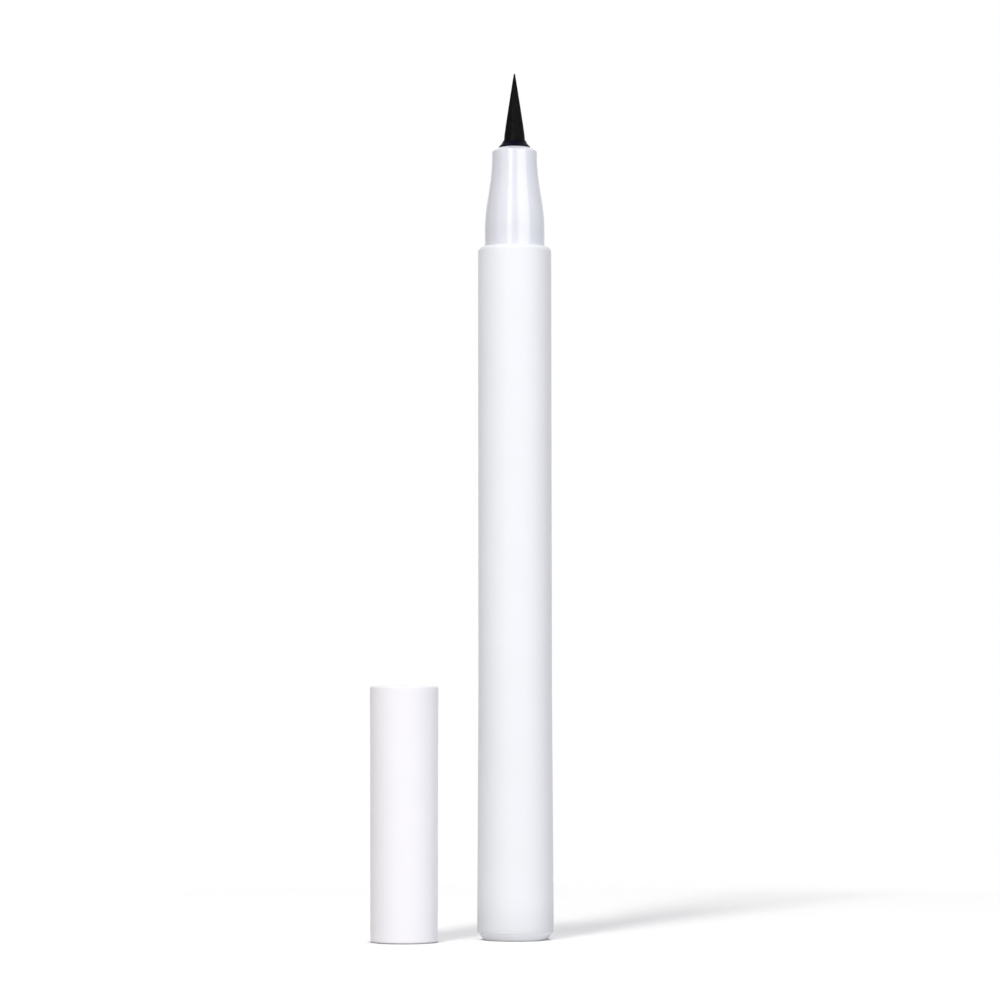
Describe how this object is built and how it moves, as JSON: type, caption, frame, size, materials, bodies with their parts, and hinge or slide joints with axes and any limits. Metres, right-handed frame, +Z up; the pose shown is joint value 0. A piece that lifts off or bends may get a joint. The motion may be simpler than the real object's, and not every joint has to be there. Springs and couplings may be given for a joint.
{
  "type": "liquid eyeliner pen",
  "caption": "Slim round white liquid eyeliner pen with a black pointed brush tip, standing upright with its pull-off cap beside it.",
  "frame": {"origin": "centre of the flat round foot that the pen stands on", "axes": "+Z up along the pen's axis towards the brush tip, the cap stands towards -X and a little towards -Y, and the picture looks along +Y"},
  "size_m": [0.026, 0.0155, 0.124],
  "materials": {
    "barrel_plastic": "satin",
    "neck_plastic": "gloss",
    "black_plastic": "satin",
    "black_bristle": "matte",
    "feed_fibre": "matte",
    "collector_plastic": "satin",
    "ball_steel": "polished",
    "cap_plastic": "satin",
    "inner_cap_plastic": "satin",
    "spring_steel": "satin"
  },
  "bodies": {
    "pen": {"barrel": "barrel_plastic", "tail_plug": "barrel_plastic", "neck": "neck_plastic", "brush_holder": "black_plastic", "brush": "black_bristle", "feed_rod": "feed_fibre", "ink_collector": "collector_plastic"},
    "ball": {"mixing_ball": "ball_steel"},
    "cap": {"cap_shell": "cap_plastic", "inner_cap_spring": "spring_steel"},
    "inner_cap": {"inner_cap": "inner_cap_plastic"}
  },
  "joints": [
    {"name": "cap_lift", "type": "slide", "parent": "pen", "child": "cap", "axis": [0, 0, 1], "range_m": [0, 0.13]},
    {"name": "inner_cap_slide", "type": "slide", "parent": "cap", "child": "inner_cap", "axis": [0, 0, 1], "range_m": [0, 0.002], "stiffness_N_per_m": 150, "springref_m": -0.003, "deforming": ["inner_cap_spring"]},
    {"name": "ball_travel", "type": "slide", "parent": "pen", "child": "ball", "axis": [0, 0, 1], "range_m": [0, 0.073]}
  ]
}
